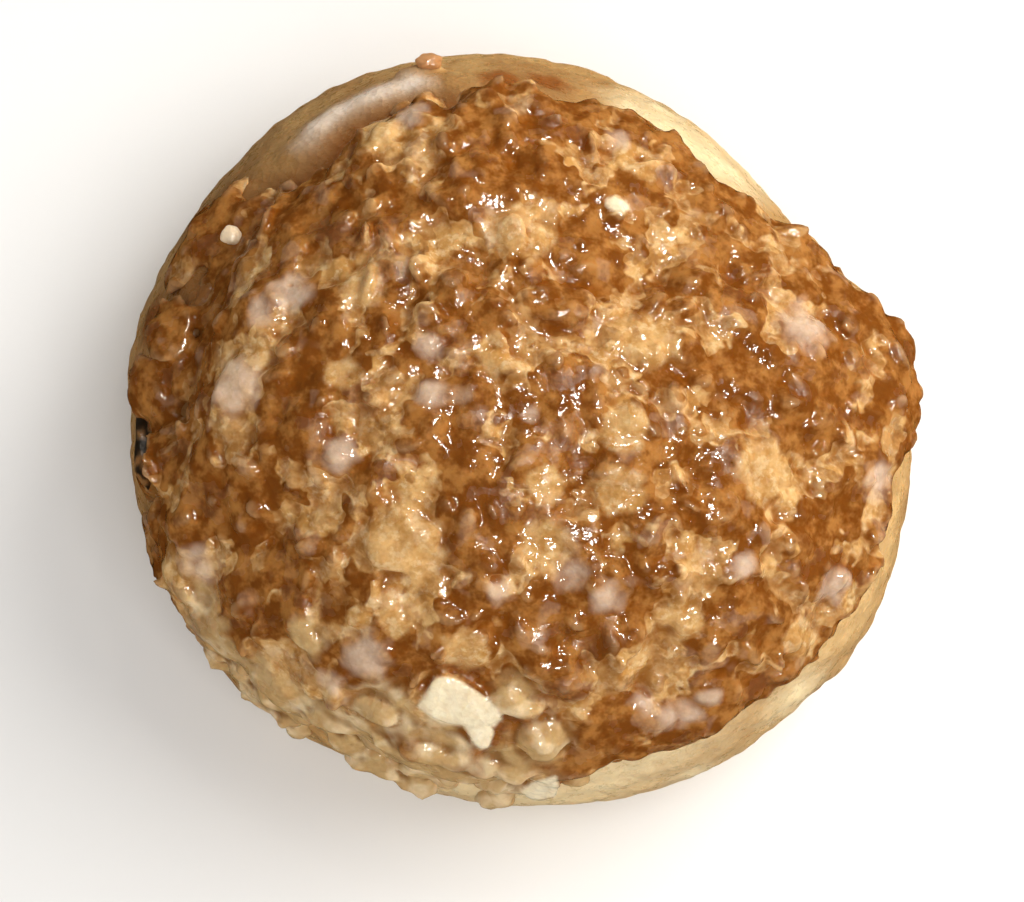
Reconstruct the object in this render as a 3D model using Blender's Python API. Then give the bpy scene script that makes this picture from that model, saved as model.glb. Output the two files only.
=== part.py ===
"""A cookie cream puff, uncut: a choux bun with a lumpy, glazed cookie crust baked on to its dome.

Metres, +Z up. The origin is the middle of the flat base. +X points to the right of the usual
view, which looks down on the puff from the -Y side.
"""

import math
import random

import bmesh
import bpy
from mathutils import Matrix, Vector, kdtree, noise

MM = 0.001

# The bun's plan, as the distance from the middle to its widest line at even steps of bearing
# from +X, and how far that line's middle lies from the origin.
PLAN_RADII = [radius * MM for radius in (46.6, 40.8, 41.8, 43.6, 43.6, 43.2, 43.4, 43.8, 42.4, 44, 46.2, 47.2)]
PLAN_SHIFT = Vector((-1.7, 0.5, 0)) * MM

# Heights of the bun's widest line and of its top, and how far its side tucks in to the base.
WAIST_HEIGHT = 11 * MM
DOME_HEIGHT = 46 * MM
BASE_TUCK = 8 * MM
# Below 1 the dome has rounder shoulders than an ellipse.
DOME_FULLNESS = 0.96
# The point that every lump and swell stands away from.
MIDDLE = Vector((0, 0, 10)) * MM
# An edge sharper than this keeps its crease in the shading.
SHARP_ANGLE = math.radians(50)

# Broad swells and dips of the whole puff: bearing in degrees, share of the way from the top
# (0) to the widest line (1), spread and height.
SWELLS = [
    (100, 0.36, 9 * MM, 2.0 * MM),
    (75, 0.62, 7 * MM, -1.2 * MM),
    (20, 0.20, 8 * MM, -1.6 * MM),
    (150, 0.40, 8 * MM, -1.4 * MM),
    (250, 0.50, 9 * MM, 1.4 * MM),
    (310, 0.45, 8 * MM, 1.4 * MM),
    (0, 0.62, 8 * MM, 1.6 * MM),
    (215, 0.55, 7 * MM, -1.2 * MM),
    (120, 1.05, 9 * MM, 1.2 * MM),
    (330, 1.00, 8 * MM, 1.0 * MM),
]
# They fade out above the base: the share where they end, and how far above it they start to.
SWELLS_END = 1.8
SWELLS_FADE = 0.5

# The fold in the bun's left side: a groove that runs down past its widest line.
FOLD_BEARING = 183
FOLD_WIDTH = 2.2 * MM
FOLD_DEPTH = 3.0 * MM
FOLD_SHARES = (0.70, 1.40)

# How far down the dome the crust reaches, at even steps of bearing: 1 is the widest line.
CRUST_REACH = (0.68, 0.54, 0.46, 0.38, 0.40, 0.47, 0.46, 0.71, 0.78, 0.76, 0.73, 0.70)
# The waves of the crust's rim: how many go round, their phase, and their share of the reach.
RIM_WAVES = ((7, 0.4, 0.016), (12, 2.1, 0.014), (19, 4.0, 0.010))
CRUST_THICKNESS = 2.6 * MM
RIM_THICKNESS = 0.8 * MM
RIM_ROUNDING = 4.0 * MM
CRUST_RIPPLE = 0.7 * MM
CRUST_RIPPLE_SIZE = 9 * MM
# Air between the crust's underside and the bun, so that the two solids stay apart.
CRUST_GAP = 0.35 * MM

# The lumps all over the crust, which stand up out of its face.
LUMP_COUNT = 420
LUMP_SEED = 11
LUMP_RADII = (2.1 * MM, 3.6 * MM)
LUMP_RISE = 0.62
LUMP_SCATTER = 0.30
# The lumps grow from nothing at the rim to their full height this far from it.
LUMP_FREE_RIM = 3.0 * MM
GOLDEN_ANGLE = math.pi * (3 - math.sqrt(5))

# Chopped pieces that lie on the lumps, and the places of those that stand out:
# bearing in degrees, part of the way to the crust's rim, and radius.
CHUNK_COUNT = 30
CHUNK_SEED = 5
CHUNK_RADII = (2.0 * MM, 3.0 * MM)
CHUNK_ROOT = 1.2 * MM
# A chunk's sides against its radius, how unevenly it is chipped, how near the rim it may lie,
# and how much of the lump below it stands on.
CHUNK_LENGTHS = (1.0, 1.3)
CHUNK_WIDTHS = (0.75, 1.0)
CHUNK_HEIGHTS = (0.8, 1.0)
CHUNK_CHIPS = (0.88, 1.1)
CHUNK_NEAREST_RIM = 0.9
CHUNK_STAND = 0.5
MARKED_CHUNKS = [
    (172, 0.88, 3.4 * MM),
    (20, 0.88, 3.2 * MM),
    (258, 0.76, 3.6 * MM),
    (226, 0.70, 2.8 * MM),
]

# How finely the skins are divided: each ring down from the top has this many points more than
# the last, and the crust's rim and the bun's side keep the number of the ring they start from.
RING_GROWTH = 6
FACE_ROWS = 33
UNDER_ROWS = 11
SIDE_ROWS = 7


def around(values, bearing):
    """The smooth closed curve through even steps of bearing: a Catmull-Rom spline."""
    place = bearing / math.tau * len(values)
    first = math.floor(place)
    t = place - first
    before, start, end, after = (values[(first + k) % len(values)] for k in (-1, 0, 1, 2))
    bend = 2 * before - 5 * start + 4 * end - after
    twist = 3 * (start - end) + after - before
    return start + 0.5 * t * (end - before + t * (bend + t * twist))


def plain_skin(bearing, share):
    """The bun without its swells. Share runs 0 at the top, 1 at the widest line, 2 at the base."""
    radius = around(PLAN_RADII, bearing)
    if share <= 1:
        polar = share * math.pi / 2
        out = radius * math.sin(polar) ** DOME_FULLNESS
        rise = max(math.cos(polar), 0.0) ** DOME_FULLNESS
        height = WAIST_HEIGHT + (DOME_HEIGHT - WAIST_HEIGHT) * rise
    else:
        turn = (share - 1) * math.pi / 2
        out = radius - BASE_TUCK * (1 - math.cos(turn))
        height = WAIST_HEIGHT * (1 - math.sin(turn))
    return Vector((out * math.cos(bearing), out * math.sin(bearing), height)) + PLAN_SHIFT


def outward(point):
    """The way out of the puff at a point of its skin."""
    return (point - MIDDLE).normalized()


def bell(distance, spread):
    return math.exp(-((distance / spread) ** 2))


def skin(bearing, share, lift=0.0):
    """A point of the bun's skin, or one that lies lift above it."""
    point = plain_skin(bearing, share)
    rise = lift
    above_base = min(1.0, max(0.0, (SWELLS_END - share) / SWELLS_FADE))
    for degrees, swell_share, spread, height in SWELLS:
        middle = plain_skin(math.radians(degrees), swell_share)
        rise += above_base * height * bell((point - middle).length, spread)
    top, bottom = FOLD_SHARES
    if top <= share <= bottom:
        aside = (point - plain_skin(math.radians(FOLD_BEARING), share)).length
        along = math.sin(math.pi * (share - top) / (bottom - top))
        rise -= FOLD_DEPTH * along * bell(aside, FOLD_WIDTH)
    return point + outward(point) * rise


def crust_edge(bearing):
    """The share of the way down the dome where the crust ends."""
    waves = sum(size * math.sin(count * bearing + phase) for count, phase, size in RIM_WAVES)
    return around(CRUST_REACH, bearing) + waves


def crust_body(bearing, part):
    """The crust's face without its lumps. Part is the share of the way to its rim."""
    edge = crust_edge(bearing)
    point = skin(bearing, part * edge)
    from_rim = (skin(bearing, edge) - point).length
    close = max(0.0, 1 - from_rim / RIM_ROUNDING)
    ripple = CRUST_RIPPLE * noise.noise(point / CRUST_RIPPLE_SIZE)
    body = CRUST_THICKNESS - RIM_THICKNESS + ripple
    lift = RIM_THICKNESS + body * math.sqrt(1 - close * close)
    return skin(bearing, part * edge, CRUST_GAP + lift)


def spread_over_crust(count, draw, scatter):
    """Bearings and parts spread evenly over the dome: a golden-angle spiral with some scatter."""
    for number in range(count):
        bearing = (number * GOLDEN_ANGLE + draw.uniform(-scatter, scatter)) % math.tau
        widest = crust_edge(bearing) * math.pi / 2
        polar = math.acos(1 - (number + 0.5) / count * (1 - math.cos(widest)))
        yield bearing, polar / widest


class Lumps:
    """The lumps of the crust's face, and how high they stand at any point of it."""

    def __init__(self):
        draw = random.Random(LUMP_SEED)
        self.radii = []
        self.places = kdtree.KDTree(LUMP_COUNT)
        for bearing, part in spread_over_crust(LUMP_COUNT, draw, LUMP_SCATTER):
            self.places.insert(crust_body(bearing, part), len(self.radii))
            self.radii.append(draw.uniform(*LUMP_RADII))
        self.places.balance()

    def height(self, point):
        highest = 0.0
        for _, index, distance in self.places.find_range(point, LUMP_RADII[1]):
            radius = self.radii[index]
            if distance < radius:
                highest = max(highest, LUMP_RISE * math.sqrt(radius**2 - distance**2))
        return highest


def ring(face_point, step, count):
    """Points at even bearings round the puff, at one step of the way down."""
    return [face_point(k * math.tau / count, step) for k in range(count)]


def growing_rings(face_point, rows):
    """Rings from the top out to the rim, whose numbers of points grow as they widen."""
    return [ring(face_point, row / rows, RING_GROWTH * row) for row in range(1, rows + 1)]


def way_round(steps, loop):
    """How far round its loop the next edge's middle lies. A loop of one point has no edges."""
    return (steps + 0.5) / len(loop) if 1 < len(loop) > steps else math.inf


def stitch(mesh, high, low):
    """Triangles between two rings, which may have different numbers of points."""
    above = below = 0
    while min(way_round(above, high), way_round(below, low)) < math.inf:
        here, there = high[above % len(high)], low[below % len(low)]
        if way_round(above, high) < way_round(below, low):
            above += 1
            mesh.faces.new((here, there, high[above % len(high)]))
        else:
            below += 1
            mesh.faces.new((here, there, low[below % len(low)]))


def closed_skin(name, circles, material):
    """One closed mesh from a top point, given as a ring of one, down over rings to a last point."""
    mesh = bmesh.new()
    loops = [[mesh.verts.new(point) for point in circle] for circle in circles]
    for high, low in zip(loops, loops[1:]):
        stitch(mesh, high, low)
    data = bpy.data.meshes.new(name)
    mesh.to_mesh(data)
    mesh.free()
    smooth(data)
    data.materials.append(material)
    obj = bpy.data.objects.new(name, data)
    bpy.context.scene.collection.objects.link(obj)
    return obj


def smooth(data):
    data.shade_smooth()
    data.set_sharp_from_angle(angle=SHARP_ANGLE)


def food_finish(name, colour, roughness):
    material = bpy.data.materials.new(name)
    material.use_nodes = True
    shader = material.node_tree.nodes["Principled BSDF"]
    shader.inputs["Base Color"].default_value = (*colour, 1.0)
    shader.inputs["Roughness"].default_value = roughness
    shader.inputs["Metallic"].default_value = 0.0
    return material


def make_bun():
    """The choux bun. Its first rings keep to the crust's rim, so that the two skins run alike."""

    def side(bearing, part):
        edge = crust_edge(bearing)
        return skin(bearing, edge + (2 - edge) * part)

    circles = [[skin(0, 0)]]
    circles += growing_rings(lambda bearing, part: skin(bearing, part * crust_edge(bearing)), UNDER_ROWS)
    round_rim = len(circles[-1])
    circles += [ring(side, (row + 1) / SIDE_ROWS, round_rim) for row in range(SIDE_ROWS)]
    for point in circles[-1]:
        point.z = 0.0
    circles.append([Vector(PLAN_SHIFT)])
    return closed_skin("choux_bun", circles, food_finish("baked_choux", (0.62, 0.38, 0.17), 0.45))


def make_crust(lumps):
    """The lumpy crust: its face from the top out to the rim, and its underside back again."""

    def face(bearing, part):
        point = crust_body(bearing, part)
        from_rim = (crust_body(bearing, 1) - point).length
        return point + outward(point) * lumps.height(point) * min(1.0, from_rim / LUMP_FREE_RIM)

    def underside(bearing, part):
        return skin(bearing, part * crust_edge(bearing), CRUST_GAP)

    circles = [[face(0, 0)]] + growing_rings(face, FACE_ROWS)
    circles += reversed(growing_rings(underside, UNDER_ROWS))
    circles.append([underside(0, 0)])
    return closed_skin("cookie_crust", circles, food_finish("glazed_crust", (0.36, 0.15, 0.05), 0.25))


def make_chunk(centre, radius, draw):
    """An angular chopped piece, long one way, with a root that sits in the crust."""
    mesh = bmesh.new()
    bmesh.ops.create_icosphere(mesh, subdivisions=1, radius=1.0)
    length = radius * draw.uniform(*CHUNK_LENGTHS)
    width = radius * draw.uniform(*CHUNK_WIDTHS)
    height = radius * draw.uniform(*CHUNK_HEIGHTS)
    for vertex in mesh.verts:
        depth = height if vertex.co.z > 0 else CHUNK_ROOT
        vertex.co = Vector((vertex.co.x * length, vertex.co.y * width, vertex.co.z * depth))
        vertex.co *= draw.uniform(*CHUNK_CHIPS)
    upright = outward(centre).to_track_quat("Z", "Y").to_matrix().to_4x4()
    spin = Matrix.Rotation(draw.uniform(0, math.tau), 4, "Z")
    mesh.transform(Matrix.Translation(centre) @ upright @ spin)
    data = bpy.data.meshes.new("chunk")
    mesh.to_mesh(data)
    mesh.free()
    return bpy.data.objects.new("chunk", data)


def make_chunks(lumps, collection):
    draw = random.Random(CHUNK_SEED)
    places = [(math.radians(degrees), part, radius) for degrees, part, radius in MARKED_CHUNKS]
    for bearing, part in spread_over_crust(CHUNK_COUNT, draw, LUMP_SCATTER):
        places.append((bearing, min(part, CHUNK_NEAREST_RIM), draw.uniform(*CHUNK_RADII)))
    for bearing, part, radius in places:
        point = crust_body(bearing, part)
        point += outward(point) * CHUNK_STAND * lumps.height(point)
        collection.objects.link(make_chunk(point, radius, draw))


def keep_outer_shell(data):
    """Drops the small shells that a union leaves: hollows sealed between pieces, and scraps."""
    mesh = bmesh.new()
    mesh.from_mesh(data)
    shells = []
    waiting = set(mesh.verts)
    while waiting:
        front = {waiting.pop()}
        shell = set(front)
        while front:
            near = {edge.other_vert(vertex) for vertex in front for edge in vertex.link_edges}
            front = near - shell
            shell |= near
        waiting -= shell
        shells.append(shell)
    shells.sort(key=len)
    for shell in shells[:-1]:
        bmesh.ops.delete(mesh, geom=list(shell), context="VERTS")
    mesh.to_mesh(data)
    mesh.free()


def fuse(body, collection):
    """Joins every object of the collection to the body, and removes them."""
    union = body.modifiers.new("join_chunks", "BOOLEAN")
    union.operation = "UNION"
    union.operand_type = "COLLECTION"
    union.solver = "MANIFOLD"
    union.collection = collection
    graph = bpy.context.evaluated_depsgraph_get()
    joined = bpy.data.meshes.new_from_object(body.evaluated_get(graph))
    body.modifiers.clear()
    keep_outer_shell(joined)
    smooth(joined)
    body.data = joined
    for obj in list(collection.objects):
        bpy.data.objects.remove(obj)
    bpy.data.collections.remove(collection)


def main():
    for obj in list(bpy.data.objects):
        bpy.data.objects.remove(obj)
    lumps = Lumps()
    make_bun()
    crust = make_crust(lumps)
    chunks = bpy.data.collections.new("chunks")
    bpy.context.scene.collection.children.link(chunks)
    make_chunks(lumps, chunks)
    fuse(crust, chunks)


main()
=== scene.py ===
import math
import random

import bmesh
import bpy
import numpy as np
from mathutils import Matrix, Vector, noise
from mathutils.bvhtree import BVHTree
from mathutils.kdtree import KDTree


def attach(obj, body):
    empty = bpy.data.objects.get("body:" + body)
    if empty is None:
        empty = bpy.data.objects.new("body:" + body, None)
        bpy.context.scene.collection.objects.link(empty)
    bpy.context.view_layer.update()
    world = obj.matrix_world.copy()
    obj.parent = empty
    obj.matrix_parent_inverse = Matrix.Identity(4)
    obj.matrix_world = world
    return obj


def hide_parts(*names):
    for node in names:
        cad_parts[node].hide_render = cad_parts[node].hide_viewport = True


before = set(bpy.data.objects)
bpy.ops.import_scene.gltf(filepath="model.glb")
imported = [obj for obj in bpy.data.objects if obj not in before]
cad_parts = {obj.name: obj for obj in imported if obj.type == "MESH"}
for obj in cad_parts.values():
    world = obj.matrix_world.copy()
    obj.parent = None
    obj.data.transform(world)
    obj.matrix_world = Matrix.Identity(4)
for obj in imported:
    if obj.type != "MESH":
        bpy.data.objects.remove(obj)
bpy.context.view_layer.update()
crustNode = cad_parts["cookie_crust"]
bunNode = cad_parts["choux_bun"]
mm = 0.001
middle = Vector((0, 0, 10 * mm))  # lumps and wrinkles stand away from this point


# Camera, nearly overhead, as the photo was taken
view = {
    "imageSize": (1024, 902),
    "elevation": 74,
    "distance": 0.3583,
    "focalPixels": 3240,
    "aim": (-0.00055, -0.00602, 0.022),
}


def linked(name, data):
    # a new object in the scene
    obj = bpy.data.objects.new(name, data)
    bpy.context.scene.collection.objects.link(obj)
    return obj


def makeCamera():
    data = bpy.data.cameras.new("photoCamera")
    data.sensor_width = 36
    data.lens = view["focalPixels"] / view["imageSize"][0] * data.sensor_width
    data.clip_start = 0.01
    camera = linked("photoCamera", data)
    tilt = math.radians(view["elevation"])
    back = Vector((0, -math.cos(tilt), math.sin(tilt)))
    camera.location = Vector(view["aim"]) + back * view["distance"]
    camera.rotation_euler = (math.pi / 2 - tilt, 0, 0)
    bpy.context.scene.camera = camera
    print("camera:", view["elevation"], "degrees above the table")
    return camera


def pixelRay(camera, across, down):
    # the way from the camera through a pixel of the photo
    wide, high = view["imageSize"]
    local = Vector((across - wide / 2, high / 2 - down, -view["focalPixels"]))
    return (camera.rotation_euler.to_matrix() @ local).normalized()


def surfaceTree(*objects):
    points, faces = [], []
    for obj in objects:
        start = len(points)
        points += [vertex.co.copy() for vertex in obj.data.vertices]
        faces += [[start + index for index in face.vertices] for face in obj.data.polygons]
    return BVHTree.FromPolygons(points, faces)


def spotAt(camera, tree, across, down):
    # point and normal where a pixel of the photo meets the puff, or comes nearest to it
    ray = pixelRay(camera, across, down)
    point, normal, _, _ = tree.ray_cast(camera.location, ray)
    if point is None:
        beside = camera.location + ray * (camera.location.z - view["aim"][2]) / -ray.z
        point, normal, _, _ = tree.find_nearest(beside)
    return point, normal


# Node helpers, for materials and geometry alike
def addNode(tree, kind, inputs=None, **settings):
    # an input is either a plain value or another node's output
    made = tree.nodes.new(kind)
    for name, value in settings.items():
        setattr(made, name, value)
    for key, value in (inputs or {}).items():
        if isinstance(value, bpy.types.NodeSocket):
            tree.links.new(value, made.inputs[key])
        else:
            made.inputs[key].default_value = value
    return made


def mathOf(tree, operation, first, second=0.0, third=0.0, clamp=False):
    inputs = {0: first, 1: second, 2: third}
    return addNode(tree, "ShaderNodeMath", inputs, operation=operation, use_clamp=clamp).outputs[0]


def times(tree, first, second):
    return mathOf(tree, "MULTIPLY", first, second)


def vectorOf(tree, operation, first, second=(0, 0, 0)):
    return addNode(tree, "ShaderNodeVectorMath", {0: first, 1: second}, operation=operation).outputs[0]


def scaled(tree, vector, amount):
    return addNode(tree, "ShaderNodeVectorMath", {0: vector, "Scale": amount}, operation="SCALE").outputs[0]


def ramp(tree, value, low, high, smooth=True):
    # 0 at low, 1 at high
    kind = "SMOOTHSTEP" if smooth else "LINEAR"
    inputs = {"Value": value, "From Min": low, "From Max": high}
    return addNode(tree, "ShaderNodeMapRange", inputs, interpolation_type=kind).outputs["Result"]


def noiseOf(tree, position, grain, detail=2.0, rough=0.5, output="Fac"):
    # grain is the size of one blot, in metres
    inputs = {"Vector": position, "Scale": 1 / grain, "Detail": detail, "Roughness": rough}
    return addNode(tree, "ShaderNodeTexNoise", inputs).outputs[output]


def cellsOf(tree, position, size, smoothness=0.3):
    inputs = {"Vector": position, "Scale": 1 / size, "Smoothness": smoothness}
    return addNode(tree, "ShaderNodeTexVoronoi", inputs, feature="SMOOTH_F1").outputs["Distance"]


def warped(tree, position, grain, reach):
    # pushes a pattern about, so that its edges turn lobed
    push = vectorOf(tree, "SUBTRACT", noiseOf(tree, position, grain, 1.0, output="Color"), (0.5, 0.5, 0.5))
    return vectorOf(tree, "ADD", position, scaled(tree, push, 2 * reach))


def mixColour(tree, amount, first, second, blend="MIX"):
    inputs = {0: amount, 6: first, 7: second}
    made = addNode(tree, "ShaderNodeMix", inputs, data_type="RGBA", blend_type=blend, clamp_factor=True)
    return made.outputs[2]


def toned(tree, colour, mask, amount, tone):
    # lays a tone over the colour where the mask is, up to amount
    return mixColour(tree, times(tree, mask, amount), colour, tone)


def newShape(name, inputs):
    tree = bpy.data.node_groups.new(name, "GeometryNodeTree")
    tree.interface.new_socket("Geometry", in_out="INPUT", socket_type="NodeSocketGeometry")
    for label, kind in inputs.items():
        tree.interface.new_socket(label, in_out="INPUT", socket_type="NodeSocket" + kind)
    tree.interface.new_socket("Geometry", in_out="OUTPUT", socket_type="NodeSocketGeometry")
    return tree, addNode(tree, "NodeGroupInput").outputs


def readShare(tree, name):
    # a mask of the mesh that the tree grows on
    made = addNode(tree, "GeometryNodeInputNamedAttribute", {"Name": name}, data_type="FLOAT")
    return made.outputs["Attribute"]


def moved(tree, geometry, offset):
    return addNode(tree, "GeometryNodeSetPosition", {"Geometry": geometry, "Offset": offset}).outputs[0]


def endShape(tree, geometry, finish):
    whole = addNode(tree, "GeometryNodeRealizeInstances", {"Geometry": geometry}).outputs[0]
    finished = addNode(tree, "GeometryNodeSetMaterial", {"Geometry": whole, "Material": finish}).outputs[0]
    addNode(tree, "NodeGroupOutput", {"Geometry": finished})


def growOn(obj, tree, settings, finish):
    # the tree's inputs go in by their identifiers, before the object is first evaluated; an input
    # such as Plate Rise takes the setting plateRise
    modifier = obj.modifiers.new(tree.name, "NODES")
    modifier.node_group = tree
    for item in tree.interface.items_tree:
        setting = item.name[0].lower() + item.name[1:].replace(" ", "")
        if item.in_out == "INPUT" and item.name == "Finish":
            modifier[item.identifier] = finish
        elif item.in_out == "INPUT" and setting in settings:
            modifier[item.identifier] = settings[setting]


def plainMesh(obj, name):
    # the modifiers' result as a mesh of its own
    graph = bpy.context.evaluated_depsgraph_get()
    made = bpy.data.meshes.new_from_object(obj.evaluated_get(graph))
    made.name = name
    bpy.data.objects.remove(obj)
    return linked(name, made)


def mergedCopy(node, name):
    # the CAD node's loose triangles as one closed mesh
    mesh = bmesh.new()
    mesh.from_mesh(node.data)
    bmesh.ops.remove_doubles(mesh, verts=mesh.verts, dist=1e-6)
    data = bpy.data.meshes.new(name)
    mesh.to_mesh(data)
    mesh.free()
    return linked(name, data)


# Patterns that both shape the crust and colour it
patternBall = 42 * mm
plates = {"size": 5.6 * mm, "lobe": 2.0 * mm, "reach": 1.6 * mm, "low": 0.425, "high": 0.485}
flakes = {"size": 2.6 * mm, "lobe": 1.1 * mm, "reach": 0.7 * mm, "low": 0.47, "high": 0.55}


def plateField(tree, position, pattern):
    # 1 on the brown plates that lie on top, 0 in the golden hollows between them; read on a ball
    # round the puff's middle, so that the relief doesn't shift it
    away = vectorOf(tree, "NORMALIZE", vectorOf(tree, "SUBTRACT", position, tuple(middle)))
    pushed = warped(tree, scaled(tree, away, patternBall), pattern["lobe"], pattern["reach"])
    blots = noiseOf(tree, pushed, pattern["size"], 2.0, 0.55)
    return ramp(tree, blots, pattern["low"], pattern["high"])


# The crust: plates and chopped pieces grown on the CAD crust, fused into one glazed skin
crust = {
    "plateRise": 0.55 * mm,
    "flakeRise": 0.14 * mm,
    "waveRise": 0.95 * mm,
    "waveSize": 3.8 * mm,
    "beadRise": 0.24 * mm,
    "beadSize": 1.7 * mm,
    "chunkGap": 2.3 * mm,
    "chunkLow": (1.0 * mm, 0.9 * mm, 0.40 * mm),
    "chunkHigh": (2.6 * mm, 2.0 * mm, 0.80 * mm),
    "chunkSink": 0.22 * mm,
    "chunkChip": 0.26 * mm,
    "chipSize": 1.6 * mm,
    "chunkDensity": 6e5,
    "chunkOuter": (0.82, 0.98),
    "clumpSize": 7 * mm,
    "clumpEdge": (0.30, 0.52),
    "growFacing": (0.15, 0.7),
    "meltRounds": 12,
    "seed": 4,
    "underside": 0.6 * mm,
    "sink": 0.7 * mm,
    "softReach": 7.0 * mm,
    "tallest": 3.4 * mm,
    "overTallest": 0.35,
    "reliefFromRim": (1.2 * mm, 4.0 * mm),
    "spreadReach": 7.0 * mm,
    "bareCalm": 0.5,
    "rimSwelling": 0.6,
    "voxel": 0.385 * mm,
    "hiddenFacing": -0.5,  # what faces the bun is thinned
    "mostTriangles": 192000,
}
# Where bare dough shows all along the rim, and how far up from it
doughBearings, doughShares = (0, 212, 222, 268, 278, 360), (0, 0, 1, 1, 0, 0)
doughReach = 6.0 * mm
# Where the rim on the left is painted brown: partly browned through, partly painted shade on the side turned
# from the light
shadedLeftBearings, shadedLeftShares = (0, 140, 150, 203, 214, 360), (0, 0, 0.8, 0.8, 0, 0)
# How softly the crust's rim fades into the bun, from bearing to bearing
rimBearings = (0, 95, 112, 192, 212, 360)
rimSoftness = (0, 0, 1, 1, 0.15, 0)
# How far the rim spreads past the CAD crust's, from bearing to bearing
spreadBearings = (0, 18, 30, 68, 86, 112, 150, 168, 188, 200, 225, 255, 345, 360)
rimSpreads = (0.6, 0.0, -1.0, -1.0, 0.4, 2.4, 2.6, 5.0, 4.5, 2.0, 3.0, 2.2, 1.6, 0.6)
rimSpreads = [spread * mm for spread in rimSpreads]

# Lumps fused into the crust where the photo has them: pixel across, pixel down, then in mm half
# length, half width and height, and the turn of its length from the photo's level
crustLumps = {
    "topPlate": (488, 190, 6.0, 3.4, 0.9, -5),
    "upperPlate": (560, 305, 3.6, 2.2, 0.8, 20),
    "rightPlate": (738, 385, 4.2, 2.4, 0.8, -15),
    "leftPlate": (300, 430, 2.6, 3.0, 0.8, 0),
    "lowPlate": (560, 675, 3.6, 2.2, 0.8, -20),
    "leftPearl": (235, 385, 2.8, 2.4, 0.79, 80),
    "rightPearl": (802, 330, 2.4, 2.0, 0.72, 30),
    "rightPink": (745, 565, 1.4, 1.1, 0.58, 0),
    "lowLilac": (365, 655, 2.5, 1.7, 0.65, 0),
    "stripOne": (640, 705, 1.5, 0.9, 0.5, -40),
    "stripTwo": (662, 717, 1.6, 0.9, 0.58, -10),
    "stripThree": (688, 713, 1.6, 0.9, 0.58, 25),
    "stripFour": (708, 695, 1.6, 0.9, 0.5, 60),
    "creamTop": (382, 132, 2.6, 1.5, 0.86, -25),
    "topLilac": (408, 112, 1.9, 1.2, 0.5, -30),
    "leftGold": (365, 285, 3.0, 2.4, 0.72, 60),
    "hollowGold": (405, 545, 3.6, 2.6, 0.58, 20),
    "ringLump": (548, 545, 2.9, 1.9, 0.65, 15),
    "darkPlate": (705, 500, 3.2, 2.4, 0.72, 0),
    "centreDome": (566, 410, 2.8, 2.5, 0.86, 80),
    "beadOne": (430, 345, 1.1, 0.9, 0.58, 60),
    "beadTwo": (430, 393, 1.4, 0.9, 0.58, 0),
    "beadThree": (464, 394, 1.2, 0.9, 0.5, 30),
    "flakeMound": (466, 700, 4.8, 3.2, 1.3, -15),
    "knob": (543, 736, 3.1, 2.9, 2.2, 0),
    "layers": (516, 702, 2.8, 1.4, 1.3, -35),
    "doughTwo": (512, 771, 2.0, 1.5, 1.21, -15),
    "doughThree": (574, 774, 1.7, 1.5, 1.21, 0),
    "doughFour": (455, 758, 1.8, 1.3, 0.99, -20),
    "doughFive": (484, 764, 1.7, 1.5, 1.1, 10),
    "lilacDough": (326, 686, 2.2, 1.8, 0.72, -30),
    "creamDough": (375, 706, 2.8, 1.9, 1.31, -10),
    "facetDough": (306, 636, 2.3, 1.6, 1.1, 110),
    "smallDough": (241, 668, 1.4, 1.1, 0.89, -30),
    "glossDough": (258, 690, 2.4, 1.6, 1.21, -35),
    "longDough": (335, 722, 3.0, 1.4, 0.99, -28),
    "edgeDough": (386, 741, 1.6, 1.3, 0.99, -20),
    "wideDough": (425, 752, 2.3, 1.7, 1.1, -15),
}
# More lumps along the crust's rim: bearings, how many, how far past the rim, half length, height
rimLumps = {
    "left": ((146, 204), 58, (-3.0 * mm, 11.0 * mm), (1.8 * mm, 3.8 * mm), (0.7 * mm, 1.2 * mm)),
    "lowerLeft": ((200, 224), 34, (-3.0 * mm, 9.0 * mm), (1.4 * mm, 2.8 * mm), (0.7 * mm, 1.2 * mm)),
    "dough": ((217, 276), 120, (-7.0 * mm, 10.0 * mm), (1.3 * mm, 2.5 * mm), (1.0 * mm, 1.7 * mm)),
    "bottom": ((262, 290), 20, (-3.0 * mm, 2.6 * mm), (1.1 * mm, 2.1 * mm), (0.4 * mm, 0.9 * mm)),
    "lowerRight": ((288, 372), 36, (-2.6 * mm, 0.4 * mm), (1.3 * mm, 2.4 * mm), (0.4 * mm, 0.7 * mm)),
    "upperRight": ((12, 100), 26, (-4.4 * mm, -0.8 * mm), (1.2 * mm, 2.2 * mm), (0.5 * mm, 0.8 * mm)),
}


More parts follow.
